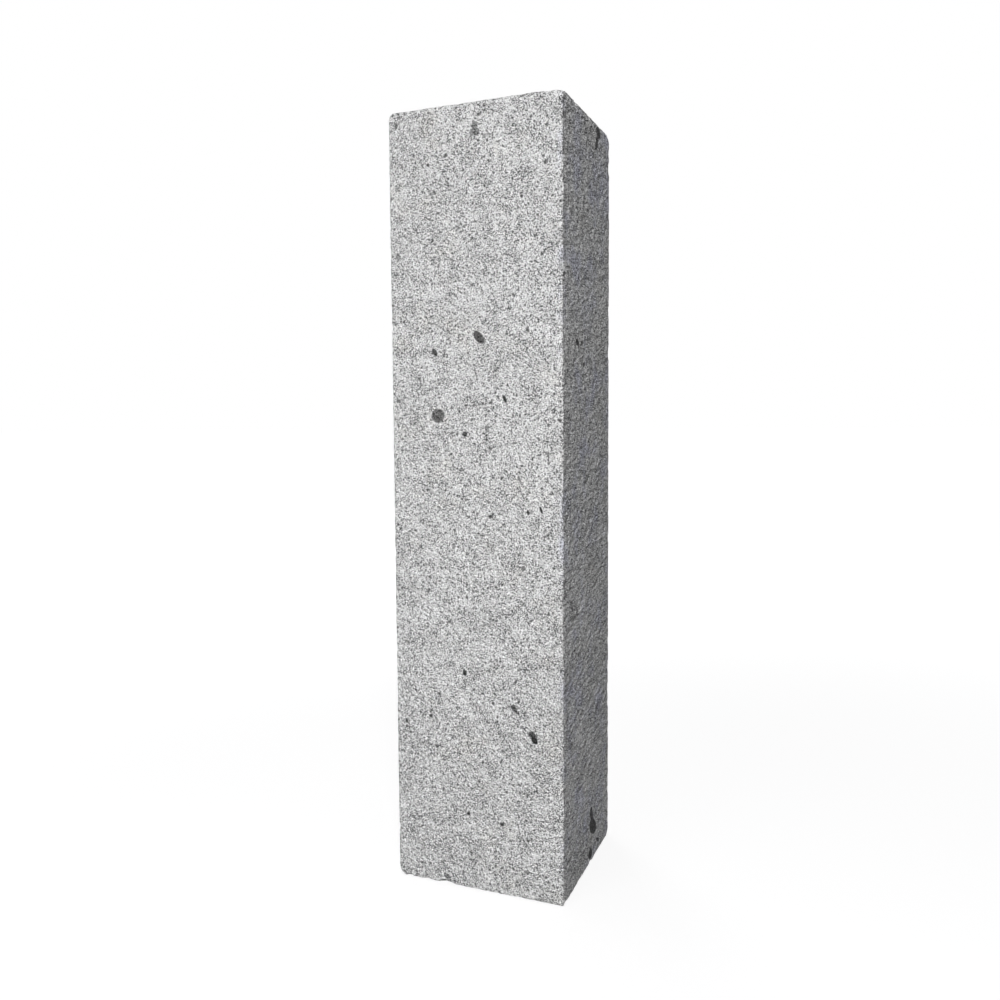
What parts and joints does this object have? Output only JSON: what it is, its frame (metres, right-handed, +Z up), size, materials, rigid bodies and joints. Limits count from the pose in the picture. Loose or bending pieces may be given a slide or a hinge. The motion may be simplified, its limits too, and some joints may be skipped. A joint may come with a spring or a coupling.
{
  "type": "granite post",
  "caption": "Square upright post of speckled grey granite with sawn faces, eased and chipped arrises and worn corners, standing on its flat base.",
  "frame": {"origin": "middle of the base, on the surface that the post stands on", "axes": "+Z up along the post, its longest side; the front face looks to -Y and the right-hand side face to +X"},
  "size_m": [0.345, 0.345, 1.5],
  "materials": {
    "granite": "matte"
  },
  "bodies": {
    "root": {"granite_post": "granite"}
  },
  "joints": []
}
